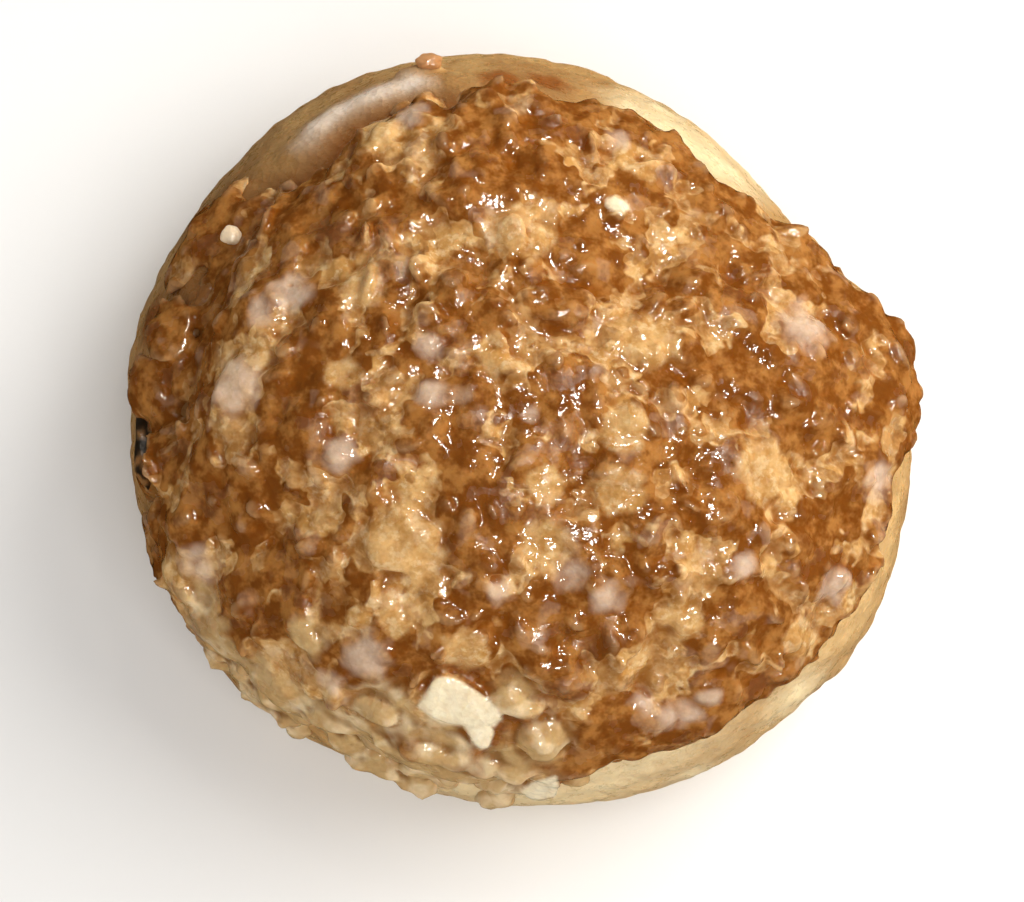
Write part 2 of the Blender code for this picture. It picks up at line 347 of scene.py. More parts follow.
def crustShape():
    tree, given = newShape("growCrust", {
        "Plate Rise": "Float", "Flake Rise": "Float", "Wave Rise": "Float", "Bead Rise": "Float",
        "Chunk Gap": "Float", "Chunk Low": "Vector", "Chunk High": "Vector", "Chunk Sink": "Float",
        "Chunk Chip": "Float", "Seed": "Int", "Finish": "Material"})
    fine = addNode(tree, "GeometryNodeSubdivideMesh", {"Mesh": given["Geometry"], "Level": 2}).outputs[0]
    position = addNode(tree, "GeometryNodeInputPosition").outputs[0]
    normal = addNode(tree, "GeometryNodeInputNormal").outputs[0]
    relaxed = addNode(tree, "GeometryNodeBlurAttribute", {"Iterations": crust["meltRounds"]},
                      data_type="FLOAT_VECTOR")
    tree.links.new(position, relaxed.inputs["Value"])
    cover = readShare(tree, "cover")
    melt = scaled(tree, vectorOf(tree, "SUBTRACT", relaxed.outputs["Value"], position), cover)
    fine = moved(tree, fine, melt)

    # only the outer face grows: its normals point away from the puff's middle
    away = vectorOf(tree, "NORMALIZE", vectorOf(tree, "SUBTRACT", position, tuple(middle)))
    facing = addNode(tree, "ShaderNodeVectorMath", {0: normal, 1: away}, operation="DOT_PRODUCT")
    outer = times(tree, ramp(tree, facing.outputs["Value"], *crust["growFacing"]), cover)

    waves = mathOf(tree, "SUBTRACT", noiseOf(tree, position, crust["waveSize"], 2.0, 0.5), 0.5)
    beads = mathOf(tree, "SUBTRACT", 0.5, cellsOf(tree, position, crust["beadSize"], 0.25))
    rise = times(tree, plateField(tree, position, plates), given["Plate Rise"])
    rise = mathOf(tree, "MULTIPLY_ADD", plateField(tree, position, flakes), given["Flake Rise"], rise)
    rise = mathOf(tree, "MULTIPLY_ADD", waves, times(tree, given["Wave Rise"], 2.0), rise)
    rise = mathOf(tree, "MULTIPLY_ADD", beads, given["Bead Rise"], rise)
    calm = mathOf(tree, "SUBTRACT", 1.0, times(tree, readShare(tree, "bare"), crust["bareCalm"]))
    outer = times(tree, outer, calm)
    body = moved(tree, fine, scaled(tree, normal, times(tree, rise, outer)))

    # chopped pieces crowd together in clumps
    clumps = ramp(tree, noiseOf(tree, position, crust["clumpSize"], 2.0), *crust["clumpEdge"])
    density = times(tree, clumps, ramp(tree, outer, *crust["chunkOuter"]))
    scatter = addNode(tree, "GeometryNodeDistributePointsOnFaces", {
        "Mesh": body, "Distance Min": given["Chunk Gap"], "Density Max": crust["chunkDensity"],
        "Density Factor": density, "Seed": given["Seed"]}, distribute_method="POISSON")
    sunk = scaled(tree, scatter.outputs["Normal"], times(tree, given["Chunk Sink"], -1.0))
    points = moved(tree, scatter.outputs["Points"], sunk)
    size = addNode(tree, "FunctionNodeRandomValue", {"Min": given["Chunk Low"], "Max": given["Chunk High"],
                                                     "Seed": given["Seed"]}, data_type="FLOAT_VECTOR")
    spin = addNode(tree, "FunctionNodeRandomValue", {0: (-0.5, -0.5, 0), 1: (0.5, 0.5, math.tau)},
                   data_type="FLOAT_VECTOR")
    turned = addNode(tree, "FunctionNodeRotateRotation", {
        "Rotation": scatter.outputs["Rotation"], "Rotate By": spin.outputs[0]}, rotation_space="LOCAL")
    chunk = addNode(tree, "GeometryNodeMeshIcoSphere", {"Radius": 1.0, "Subdivisions": 2}).outputs[0]
    copies = addNode(tree, "GeometryNodeInstanceOnPoints", {
        "Points": points, "Instance": chunk, "Rotation": turned.outputs[0], "Scale": size.outputs[0]})
    loose = addNode(tree, "GeometryNodeRealizeInstances", {"Geometry": copies.outputs[0]}).outputs[0]
    chips = noiseOf(tree, position, crust["chipSize"], 2.0, output="Color")
    knock = vectorOf(tree, "SUBTRACT", chips, (0.5, 0.5, 0.5))
    chipped = moved(tree, loose, scaled(tree, knock, times(tree, given["Chunk Chip"], 2.0)))
    joined = addNode(tree, "GeometryNodeJoinGeometry")
    tree.links.new(body, joined.inputs[0])
    tree.links.new(chipped, joined.inputs[0])
    endShape(tree, joined.outputs[0], given["Finish"])
    return tree


def fused(obj, name, voxel, rounds, finish):
    # everything in the mesh joined into one closed skin
    fuse = obj.modifiers.new("fuse", "REMESH")
    fuse.mode = "VOXEL"
    fuse.voxel_size = voxel
    relax = obj.modifiers.new("relax", "SMOOTH")
    relax.factor = 0.5
    relax.iterations = rounds
    piece = plainMesh(obj, name)
    piece.data.materials.clear()
    piece.data.materials.append(finish)
    piece.data.shade_smooth()
    return piece


def thinned(piece, hidden, most):
    # collapses what nothing shows, until the piece has no more than this many triangles
    group = piece.vertex_groups.new(name="hidden")
    group.add(np.flatnonzero(hidden).tolist(), 1.0, "REPLACE")
    thin = piece.modifiers.new("thin", "DECIMATE")
    thin.ratio = min(1, most / (2 * len(piece.data.polygons)))
    thin.vertex_group = group.name
    piece = plainMesh(piece, piece.name)
    piece.vertex_groups.clear()
    triangles = sum(len(face.vertices) - 2 for face in piece.data.polygons)
    print(piece.name + ":", triangles, "triangles")
    return piece


# Milky, golden, browned and bare spots seen in the photo: pixel across, pixel down, radius in mm
milkSpots = [
    (233, 385, 2.6), (802, 330, 2.4), (365, 655, 2.3), (745, 565, 1.3), (640, 703, 1.3),
    (662, 717, 1.4), (688, 713, 1.4), (708, 695, 1.3), (290, 290, 2.0), (262, 312, 1.5),
    (430, 345, 1.3), (430, 393, 1.4), (464, 394, 1.1), (408, 112, 1.7), (575, 575, 1.6),
    (608, 600, 1.5), (500, 592, 1.3), (532, 416, 0.8), (880, 480, 1.9), (835, 590, 1.8),
    (855, 612, 1.6), (326, 686, 1.4), (195, 565, 2.0), (340, 455, 1.5), (620, 135, 1.3),
]
goldSpots = [
    (365, 285, 3.0), (405, 545, 4.2), (765, 470, 3.4), (520, 225, 3.8), (650, 340, 3.0),
    (625, 430, 2.4), (548, 545, 2.8), (620, 490, 2.6), (548, 485, 2.0), (500, 355, 2.2),
    (465, 655, 2.6), (530, 700, 2.4), (800, 640, 2.4), (650, 765, 2.6), (356, 624, 1.8),
    (395, 622, 1.7), (640, 160, 2.4), (382, 132, 2.6), (905, 470, 2.4), (680, 620, 2.2),
    (345, 375, 1.9),
]
brownSpots = [
    (480, 170, 5.0), (570, 400, 4.2), (300, 430, 3.6), (735, 390, 4.2), (705, 500, 3.4),
    (560, 680, 3.4), (560, 310, 3.2), (470, 262, 2.6), (470, 480, 3.2), (830, 420, 2.6),
    (760, 600, 2.6), (240, 520, 3.4), (330, 200, 3.6), (560, 120, 3.0), (740, 270, 2.8),
    (205, 330, 3.0), (300, 590, 2.4), (610, 725, 3.0), (300, 225, 3.4), (268, 272, 2.6),
    (330, 332, 2.4), (288, 560, 3.2), (330, 602, 2.4),
]
doughSpots = [
    (541, 740, 3.2), (516, 700, 2.6), (505, 765, 2.8), (580, 778, 2.4), (385, 712, 3.8),
    (440, 752, 3.2), (320, 712, 3.6), (258, 692, 3.0), (306, 640, 2.2), (445, 720, 2.8),
    (200, 600, 2.0), (620, 778, 2.2),
]


def raggedAt(points, grain, seed=0):
    shift = Vector((seed, 0, 0))
    return np.array([noise.noise(Vector(point) / grain + shift) for point in points])


def spotMask(camera, tree, points, spots, softness, seed, raggedness=0.35):
    # 1 inside any of the spots, with ragged edges
    mask = np.zeros(len(points))
    ragged = raggedAt(points, 1.6 * mm, seed)
    for across, down, radius in spots:
        centre, _ = spotAt(camera, tree, across, down)
        near = np.linalg.norm(points - np.array(centre), axis=1) / (radius * mm) + raggedness * ragged
        mask = np.maximum(mask, np.clip((1 + softness - near) / (2 * softness), 0, 1))
    return mask


def meshArrays(data):
    points = np.empty(len(data.vertices) * 3)
    data.vertices.foreach_get("co", points)
    edges = np.empty(len(data.edges) * 2, np.int64)
    data.edges.foreach_get("vertices", edges)
    normals = np.empty(len(data.vertices) * 3)
    data.vertices.foreach_get("normal", normals)
    return points.reshape(-1, 3), edges.reshape(-1, 2), normals.reshape(-1, 3)


def blurred(values, edges, rounds):
    count = np.bincount(edges.ravel(), minlength=len(values)).reshape(-1, 1)
    for _ in range(rounds):
        total = np.zeros_like(values)
        for axis in range(values.shape[1]):
            total[:, axis] = (np.bincount(edges[:, 0], values[edges[:, 1], axis], len(values))
                              + np.bincount(edges[:, 1], values[edges[:, 0], axis], len(values)))
        values = 0.5 * values + 0.5 * total / count
    return values


def reliefOf(points, edges, normals, rounds, depth):
    # how far each point stands out of the surface round it: 1 on a crest, -1 in a crevice
    rise = np.einsum("ij,ij->i", points - blurred(points, edges, rounds), normals)
    return np.clip(rise / depth, -1, 1)


def setMask(data, name, values):
    layer = data.attributes.new(name, "FLOAT", "POINT")
    layer.data.foreach_set("value", values.astype(np.float32))


def readMask(tree, name):
    return addNode(tree, "ShaderNodeAttribute", attribute_name=name).outputs["Fac"]


def newFinish(name):
    material = bpy.data.materials.new(name)
    material.use_nodes = True
    tree = material.node_tree
    shader = tree.nodes["Principled BSDF"]
    shader.subsurface_method = "BURLEY"  # light enough for a skin this fine
    position = addNode(tree, "ShaderNodeTexCoord").outputs["Object"]
    return material, tree, shader, position


def setShader(shader, **values):
    for name, value in values.items():
        shader.inputs[name.replace("_", " ")].default_value = value


def bumpOf(tree, height, distance, below=None):
    made = addNode(tree, "ShaderNodeBump", {"Height": height, "Distance": distance, "Strength": 1.0})
    if below is not None:
        tree.links.new(below, made.inputs["Normal"])
    return made.outputs["Normal"]


# Effects that several finishes share, each a shader node group
def newEffect(name, inputs, outputs):
    tree = bpy.data.node_groups.new(name, "ShaderNodeTree")
    for way, labels in (("INPUT", inputs), ("OUTPUT", outputs)):
        for label, kind in labels.items():
            tree.interface.new_socket(label, in_out=way, socket_type="NodeSocket" + kind)
    return tree, addNode(tree, "NodeGroupInput").outputs


def blotNoise(tree, position, grain, detail, rough):
    # grain is a socket here, the size of one blot
    scale = mathOf(tree, "DIVIDE", 1.0, grain)
    inputs = {"Vector": position, "Scale": scale, "Detail": detail, "Roughness": rough}
    return addNode(tree, "ShaderNodeTexNoise", inputs).outputs["Fac"]


def ovenMottleEffect():
    # uneven browning: a colour darkened in blots and in fine grain
    tree, given = newEffect("ovenMottle", {"Position": "Vector", "Colour": "Color", "Blot": "Float",
                                           "Grain": "Float", "Amount": "Float"}, {"Colour": "Color"})
    blots = ramp(tree, blotNoise(tree, given["Position"], given["Blot"], 3.0, 0.6), 0.68, 0.32)
    grain = blotNoise(tree, given["Position"], given["Grain"], 3.0, 0.65)
    grain = ramp(tree, grain, 0.75, 0.30, smooth=False)
    both = times(tree, mathOf(tree, "ADD", blots, grain), times(tree, given["Amount"], 0.5))
    darker = mixColour(tree, 1.0, given["Colour"], (0.62, 0.50, 0.36, 1), "MULTIPLY")
    addNode(tree, "NodeGroupOutput", {"Colour": mixColour(tree, both, given["Colour"], darker)})
    return tree


def crinkleEffect():
    # a finely crinkled face, as a normal
    tree, given = newEffect("crinkle", {"Position": "Vector", "Cell": "Float", "Depth": "Float",
                                        "Fine": "Float"}, {"Normal": "Vector"})
    inputs = {"Vector": given["Position"], "Scale": mathOf(tree, "DIVIDE", 1.0, given["Cell"])}
    cells = addNode(tree, "ShaderNodeTexVoronoi", inputs, feature="F1").outputs["Distance"]
    normal = bumpOf(tree, times(tree, cells, cells), given["Depth"])
    fine = blotNoise(tree, given["Position"], times(tree, given["Cell"], 0.5), 2.0, 0.5)
    normal = bumpOf(tree, fine, given["Fine"], below=normal)
    addNode(tree, "NodeGroupOutput", {"Normal": normal})
    return tree


def useEffect(tree, effect, values):
    return addNode(tree, "ShaderNodeGroup", values, node_tree=effect).outputs[0]


glaze = {
    "gold": (0.74, 0.46, 0.19, 1),
    "honey": (0.56, 0.29, 0.085, 1),
    "caramel": (0.42, 0.18, 0.044, 1),
    "brown": (0.20, 0.062, 0.009, 1),
    # the amber of the painted shade in the crevices
    "amber": (0.24, 0.066, 0.004, 1),
    "milk": (0.76, 0.58, 0.44, 1),
    "pale": (0.88, 0.66, 0.37, 1),
    "dough": (0.62, 0.42, 0.19, 1),
    "cream": (0.86, 0.68, 0.42, 1),
    # painted shade between the dough lumps
    "doughDark": (0.26, 0.135, 0.045, 1),
    "sugar": (1.0, 0.885, 0.64, 1),
}


def crustFinish(mottle, crinkle):
    material, tree, shader, position = newFinish("caramelCrust")
    names = ("gold", "brown", "milk", "dough", "crest", "sugary")
    gold, brown, milk, dough, crest, sugary = (readMask(tree, name) for name in names)
    plate = plateField(tree, position, plates)
    flake = plateField(tree, position, flakes)
    over = mathOf(tree, "MAXIMUM", plate, times(tree, flake, 0.55))
    over = times(tree, over, mathOf(tree, "SUBTRACT", 1.0, times(tree, gold, 0.85)))
    over = mathOf(tree, "MULTIPLY_ADD", brown, 0.85, over, clamp=True)
    tone = noiseOf(tree, position, 2.4 * mm, 3.0, 0.6)
    fine = noiseOf(tree, position, 1.1 * mm, 3.0, 0.6)
    low = mixColour(tree, ramp(tree, tone, 0.35, 0.62), glaze["honey"], glaze["gold"])
    low = toned(tree, low, ramp(tree, fine, 0.48, 0.66), 0.6, glaze["pale"])
    high = mixColour(tree, ramp(tree, tone, 0.40, 0.66), glaze["brown"], glaze["caramel"])
    colour = mixColour(tree, over, low, high)
    # milky sugar shows through in blobs
    blobs = noiseOf(tree, warped(tree, position, 2 * mm, 0.8 * mm), 3.8 * mm, 1.0)
    milky = mathOf(tree, "MAXIMUM", milk, times(tree, ramp(tree, blobs, 0.62, 0.70), 0.18))
    colour = toned(tree, colour, milky, 0.75, glaze["milk"])
    # bare dough along the rim, with painted shade in the gaps between its lumps
    creamy = ramp(tree, noiseOf(tree, position, 3.4 * mm, 2.0), 0.46, 0.62)
    bare = mixColour(tree, creamy, glaze["dough"], glaze["cream"])
    bare = mixColour(tree, ramp(tree, crest, 0.1, -0.6), bare, glaze["doughDark"])
    colour = toned(tree, colour, dough, 0.85, bare)
    # paler crests: partly where the glaze ran off, partly painted highlight
    colour = toned(tree, colour, ramp(tree, crest, 0.3, 1.0), 0.18, glaze["pale"])
    colour = toned(tree, colour, sugary, 0.95, glaze["sugar"])
    # painted shade: the crevices darken to amber, less on bare dough
    dough = mathOf(tree, "MAXIMUM", dough, sugary)
    creviceShade = mathOf(tree, "SUBTRACT", 0.85, times(tree, dough, 0.7))
    colour = toned(tree, colour, ramp(tree, crest, 0.0, -0.9), creviceShade, glaze["amber"])
    colour = useEffect(tree, mottle, {"Position": position, "Colour": colour, "Blot": 1.6 * mm,
                                      "Grain": 0.6 * mm, "Amount": 0.5})
    tree.links.new(colour, shader.inputs["Base Color"])
    # wet glaze with dull, drier patches
    dry = ramp(tree, noiseOf(tree, position, 4.2 * mm, 3.0, 0.6), 0.53, 0.62)
    rough = addNode(tree, "ShaderNodeMapRange", {"Value": dry, "To Min": 0.10, "To Max": 0.46}).outputs[0]
    rough = mathOf(tree, "MULTIPLY_ADD", dough, 0.10, rough)
    tree.links.new(rough, shader.inputs["Roughness"])
    normal = useEffect(tree, crinkle, {"Position": position, "Cell": 0.9 * mm, "Depth": 0.09 * mm,
                                       "Fine": 0.045 * mm})
    tree.links.new(normal, shader.inputs["Normal"])
    setShader(shader, Coat_Weight=0.1, Coat_Roughness=0.06, Specular_IOR_Level=0.4, Subsurface_Weight=0.45,
              Subsurface_Radius=(1.0, 0.38, 0.12), Subsurface_Scale=1.2 * mm, IOR=1.45)
    return material


def addLump(mesh, place, normal, along, sizes, shift, fineness, swelling=0.40):
    # a closed lump inside the same mesh, which the fusing joins to the rest
    made = bmesh.ops.create_icosphere(mesh, subdivisions=fineness, radius=1.0)["verts"]
    along = (along - normal * along.dot(normal)).normalized()
    turn = Matrix((along, normal.cross(along), normal)).transposed()
    for vertex in made:
        swell = 1 + swelling * noise.noise(1.5 * vertex.co + shift)
        grown = Vector((vertex.co[axis] * sizes[axis] for axis in range(3))) * swell
        vertex.co = place + turn @ grown


def addLumps(obj, camera, tree, lumps, seed):
    draw = random.Random(seed)
    mesh = bmesh.new()
    mesh.from_mesh(obj.data)
    for across, down, long, wide, high, turn in lumps.values():
        place, normal = spotAt(camera, tree, across, down)
        angle = math.radians(turn)
        along = Vector((math.cos(angle), math.sin(angle), 0))
        addLump(mesh, place, normal, along, (long * mm, wide * mm, high * mm),
                Vector((draw.uniform(0, 99), 0, 0)), 3)
    mesh.to_mesh(obj.data)
    mesh.free()


rimSteps = 72  # how finely the rim is followed when points are measured from it
lumpStep = 10  # how many degrees of the rim share one height when lumps are laid along it
lumpBall = 44 * mm


def bearingOf(point):
    return math.degrees(math.atan2(point.y, point.x)) % 360


def rimElevations(steps):
    # how low over the middle the crust reaches, bearing by bearing, in radians
    lowest = [math.pi] * steps
    for vertex in crustNode.data.vertices:
        out = vertex.co - middle
        step = int(bearingOf(vertex.co) / 360 * steps) % steps
        lowest[step] = min(lowest[step], math.atan2(out.z, math.hypot(out.x, out.y)))
    return lowest


def pastTheRim(points):
    # the bearing of each point in degrees, and how far below the crust's rim it lies
    rim = rimElevations(rimSteps)
    out = points - np.array(middle)
    bearing = np.degrees(np.arctan2(points[:, 1], points[:, 0])) % 360
    slope = np.arctan2(out[:, 2], np.hypot(out[:, 0], out[:, 1]))
    rimSlope = np.interp(bearing, (np.arange(rimSteps) + 0.5) * (360 / rimSteps), rim, period=360)
    return bearing, (rimSlope - slope) * np.linalg.norm(out, axis=1)


def addRimLumps(obj, bunTree, groups, seed):
    draw = random.Random(seed)
    rim = rimElevations(360 // lumpStep)
    mesh = bmesh.new()
    mesh.from_mesh(obj.data)
    for (first, last), count, (near, far), (short, long), (low, high) in groups.values():
        for _ in range(count):
            bearing = draw.uniform(first, last) % 360
            slope = rim[int(bearing / lumpStep) % len(rim)] - draw.uniform(near, far) / lumpBall
            angle = math.radians(bearing)
            flat = math.cos(slope)
            way = Vector((math.cos(angle) * flat, math.sin(angle) * flat, math.sin(slope)))
            place, normal, _, _ = bunTree.ray_cast(middle, way)
            normal = normal if normal.dot(way) > 0 else -normal
            length = draw.uniform(short, long)
            along = Vector((-math.sin(angle), math.cos(angle), draw.uniform(-0.5, 0.5)))
            sizes = (length, length * draw.uniform(0.6, 0.9), draw.uniform(low, high))
            addLump(mesh, place, normal, along, sizes, Vector((draw.uniform(0, 99), 0, 0)), 3,
                    crust["rimSwelling"])
    mesh.to_mesh(obj.data)
    mesh.free()


def settleCrust(data, bunTree, seatTree):
    # melts the tallest lumps down, seats the crust on the finished bun, lets the rim fade where it
    # is soft, and gives each point's share of the relief
    nearest = [bunTree.find_nearest(vertex.co) for vertex in data.vertices]
    under = np.array([found[3] < crust["underside"] for found in nearest])
    edges = meshArrays(data)[1]
    across = edges[under[edges[:, 0]] != under[edges[:, 1]]].ravel()
    rimPoints = [data.vertices[index].co.copy() for index in across if not under[index]]
    rim = KDTree(len(rimPoints))
    for index, point in enumerate(rimPoints):
        rim.insert(point, index)
    rim.balance()
    relief = np.ones(len(data.vertices))
    nearRim, farFromRim = crust["reliefFromRim"]
    for index, (vertex, (foot, _, _, stand)) in enumerate(zip(data.vertices, nearest)):
        fromRim = rim.find(vertex.co)[2]
        soft = float(np.interp(bearingOf(vertex.co), rimBearings, rimSoftness))
        relief[index] = min(1, fromRim / (nearRim + (farFromRim - nearRim) * soft))
        way = (vertex.co - foot) / stand
        spread = float(np.interp(bearingOf(vertex.co), spreadBearings, rimSpreads))
        spread *= max(0, 1 - fromRim / crust["spreadReach"])
        out = foot - middle
        lower = Vector((out.y, -out.x, 0)).normalized()
        lowered = Matrix.Rotation(-spread / out.length, 3, lower) @ out
        foot = seatTree.ray_cast(middle, lowered)[0] or foot
        if under[index]:
            vertex.co = foot - lowered.normalized() * crust["sink"]
            continue
        over = max(0, stand - crust["tallest"])
        stand -= over * (1 - crust["overTallest"])
        t = min(1, fromRim / crust["softReach"])
        t = t * t * (3 - 2 * t)
        vertex.co = foot + way * (stand * (1 - soft * (1 - t)) - crust["sink"] * soft * (1 - t))
    return relief


def doughMask(camera, tree, points):
    bearing, past = pastTheRim(points)
    ragged = raggedAt(points, 2.4 * mm)
    nearRim = np.clip((past + doughReach) / (2 * mm) + 1.5 * ragged, 0, 1)
    alongRim = np.interp(bearing, doughBearings, doughShares) * nearRim
    return np.maximum(alongRim, spotMask(camera, tree, points, doughSpots, 0.3, 17))


# Sugar flakes stuck in the crust: their corners in the photo, thickness and height over it
sugarFlakes = {
    "creamFlake": (((434, 677), (448, 677), (460, 681), (473, 689), (489, 700), (498, 709), (503, 719),
                    (495, 726), (473, 727), (462, 726), (440, 723), (427, 714), (417, 707), (424, 695)),
                   1.5 * mm, 0.55 * mm),
    "flakeChip": (((461, 724), (491, 724), (494, 733), (489, 747), (481, 750), (472, 742), (467, 731)),
                  1.3 * mm, 0.8 * mm),
    "bottomFlake": (((521, 791), (533, 782), (556, 776), (559, 787), (556, 796), (542, 800), (526, 800)),
                    1.4 * mm, 0.7 * mm),
    "topChip": (((605, 200), (614, 196), (626, 202), (631, 209), (620, 213), (608, 208)), 1.2 * mm, 0.8 * mm),
}


def addFlake(mesh, camera, tree, corners, thick, over, draw):
    # a broken flake with a chamfered, slightly crowned face
    middlePixel = [sum(corner[axis] for corner in corners) / len(corners) for axis in (0, 1)]
    place, normal = spotAt(camera, tree, *middlePixel)
    top = place + normal * over
    ring = []
    for across, down in corners:
        ray = pixelRay(camera, across, down)
        ring.append(camera.location + ray * ((top - camera.location).dot(normal) / ray.dot(normal)))
    centre = sum(ring, Vector()) / len(ring)
    shift = Vector((draw.uniform(0, 99), 0, 0))
    levels = ((0.90, -thick), (1.0, -0.5 * thick), (1.0, -0.12 * thick), (0.90, 0), (0.7, 0.03 * thick),
              (0.5, 0.05 * thick), (0.25, 0.08 * thick))
    rows = []
    for scale, lift in levels:
        row = []
        for corner in ring:
            point = centre + (corner - centre) * scale + normal * lift
            rough = 0.22 * mm * noise.noise(point / (1.3 * mm) + shift)
            row.append(mesh.verts.new(point + normal * rough + (corner - centre).normalized() * rough))
        rows.append(row)
    for below, above in zip(rows, rows[1:]):
        for index in range(len(ring)):
            after = (index + 1) % len(ring)
            mesh.faces.new((below[index], below[after], above[after], above[index]))
    for row, level in ((rows[0], -thick), (rows[-1], 0.08 * thick)):
        hub = mesh.verts.new(centre + normal * level)
        for index in range(len(ring)):
            mesh.faces.new((row[index], row[(index + 1) % len(ring)], hub))


def addFlakes(obj, camera, tree, seed):
    draw = random.Random(seed)
    mesh = bmesh.new()
    mesh.from_mesh(obj.data)
    start = len(mesh.faces)
    for corners, thick, over in sugarFlakes.values():
        addFlake(mesh, camera, tree, corners, thick, over, draw)
    mesh.faces.ensure_lookup_table()
    bmesh.ops.recalc_face_normals(mesh, faces=mesh.faces[start:])
    mesh.to_mesh(obj.data)
    mesh.free()


def pixelsOf(camera, points):
    # where each point falls in the photo
    wide, high = view["imageSize"]
    local = (points - np.array(camera.location)) @ np.array(camera.rotation_euler.to_matrix())
    shrink = view["focalPixels"] / -local[:, 2]
    return np.stack((wide / 2 + local[:, 0] * shrink, high / 2 - local[:, 1] * shrink), axis=1)


def flakeMask(camera, points, softness):
    # 1 on the sugar flakes, by their outlines in the photo; softness in pixels
    pixels = pixelsOf(camera, points)
    mask = np.zeros(len(points))
    for corners, _, _ in sugarFlakes.values():
        ring = np.array(corners, float)
        inside = np.zeros(len(points), bool)
        reach = np.full(len(points), 1e9)
        for first, second in zip(ring, np.roll(ring, -1, axis=0)):
            side = second - first
            along = np.clip((pixels - first) @ side / side.dot(side), 0, 1)
            reach = np.minimum(reach, np.linalg.norm(pixels - first - along[:, None] * side, axis=1))
            crosses = (first[1] > pixels[:, 1]) != (second[1] > pixels[:, 1])
            slant = side[0] / (side[1] if side[1] else 1e-9)
            inside ^= crosses & (pixels[:, 0] < first[0] + (pixels[:, 1] - first[1]) * slant)
        mask = np.maximum(mask, np.clip(0.5 + np.where(inside, reach, -reach) / softness, 0, 1))
    return mask


def makeCrust(camera, bunPiece, finish):
    body = mergedCopy(crustNode, "crustBody")
    photoTree = surfaceTree(crustNode, bunNode)
    seatTree = surfaceTree(bunPiece)
    relief = settleCrust(body.data, surfaceTree(bunNode), seatTree)
    addLumps(body, camera, surfaceTree(body, bunPiece), crustLumps, 2)
    addRimLumps(body, seatTree, rimLumps, 6)
    addFlakes(body, camera, surfaceTree(body, bunPiece), 21)
    cover = np.full(len(body.data.vertices), 0.8)
    cover[:len(relief)] = relief
    setMask(body.data, "cover", cover)
    points = meshArrays(body.data)[0]
    setMask(body.data, "bare", np.maximum(doughMask(camera, photoTree, points), flakeMask(camera, points, 4)))
    growOn(body, crustShape(), crust, finish)
    piece = fused(body, "cookieCrust", crust["voxel"], 3, finish)
    points, _, normals = meshArrays(piece.data)
    out = points - np.array(middle)
    facing = np.einsum("ij,ij->i", normals, out) / np.linalg.norm(out, axis=1)
    piece = thinned(piece, facing < crust["hiddenFacing"], crust["mostTriangles"])
    data = piece.data
    points, edges, normals = meshArrays(data)
    setMask(data, "crest", 0.6 * reliefOf(points, edges, normals, 12, 0.22 * mm)
            + 0.4 * reliefOf(points, edges, normals, 60, 0.8 * mm))
    setMask(data, "milk", spotMask(camera, photoTree, points, milkSpots, 0.45, 3, 0.6))
    setMask(data, "gold", spotMask(camera, photoTree, points, goldSpots, 0.16, 7))
    bearing, past = pastTheRim(points)
    # brown on the left rim: partly browned through, partly painted shade
    shadedLeftRim = np.interp(bearing, shadedLeftBearings, shadedLeftShares) * np.clip((past + 4 * mm) / (3 * mm), 0, 1)
    setMask(data, "brown", np.maximum(shadedLeftRim, spotMask(camera, photoTree, points, brownSpots, 0.16, 11)))
    setMask(data, "dough", doughMask(camera, photoTree, points))
    setMask(data, "sugary", flakeMask(camera, points, 3))
    return piece


# The bun: smooth baked choux, wrinkled where it swelled
bun = {
    "level": 2,
    "voxel": 0.48 * mm,
    "hiddenPast": -5 * mm,  # what lies deeper under the crust is thinned
    "mostTriangles": 190000,
    "wrinkle": 0.42 * mm,
    "wrinkleSize": 5 * mm,
    "wrinkleLobe": 9 * mm,
    "wrinkleReach": 2 * mm,
    "wrinkleStretch": (1, 1, 2.6),
    "blister": 0.15 * mm,
    "blisterSize": 2.6 * mm,
    "grain": 0.55 * mm,
    "grainSize": 1.5 * mm,
    "grainLobe": 2 * mm,
    "grainReach": 0.5 * mm,
    "fold": 1.9 * mm,
    "foldSize": 2.4 * mm,
    "foldStretch": (1, 0.3, 0.6),
    "flatBase": (0.3 * mm, 4 * mm),
    "valley": 1.0 * mm,
    "valleyPlace": 3.0 * mm,
    "valleyWidth": 3.2 * mm,
    "lip": 0.7 * mm,
    "lipPlace": 9.0 * mm,
    "lipWidth": 3.0 * mm,
    # width of the painted sheen along the lip
    "waxyWidth": 2.0 * mm,
    "setBack": 1.3 * mm,
    "setBackPast": 3.0 * mm,
}
# By bearing: where the lip rolls round the crust, where the left side is folded, how grainy the
# dough is, where it is browned (partly toast, partly painted shade), set back under the crust, painted with
# sheen, and pale (partly painted light)
lipBearings, lipShares = (0, 85, 103, 172, 192, 360), (0, 0, 1, 1, 0, 0)
foldBearings, foldShares = (0, 150, 172, 215, 232, 360), (0, 0, 1, 1, 0, 0)
grainBearings, grainShares = (0, 30, 70, 200, 250, 360), (0.9, 0.7, 0.35, 0.4, 0.9, 0.9)
# browner above and on the left: partly toasting, partly painted shade on the side turned from the light
toastShadeBearings = (0, 70, 86, 100, 118, 135, 150, 212, 228, 360)
toastShadeShares = (0, 0, 0.7, 0.5, 0.35, 0.6, 1, 1, 0, 0)
setBackBearings, setBackShares = (0, 186, 194, 212, 226, 360), (0, 0, 1, 1, 0, 0)
# where a painted sheen lies along the lip, standing in for its highlight
sheenBearings, sheenShares = (0, 104, 110, 128, 136, 360), (0, 0, 1, 1, 0, 0)
# paler on the upper right and at the bottom: partly pale dough, partly painted light where the lamps fall
paleLitBearings, paleLitShares = (0, 38, 50, 66, 74, 245, 262, 285, 300, 360), (0, 0, 1, 1, 0, 0, 0.8, 0.9, 0.3, 0)

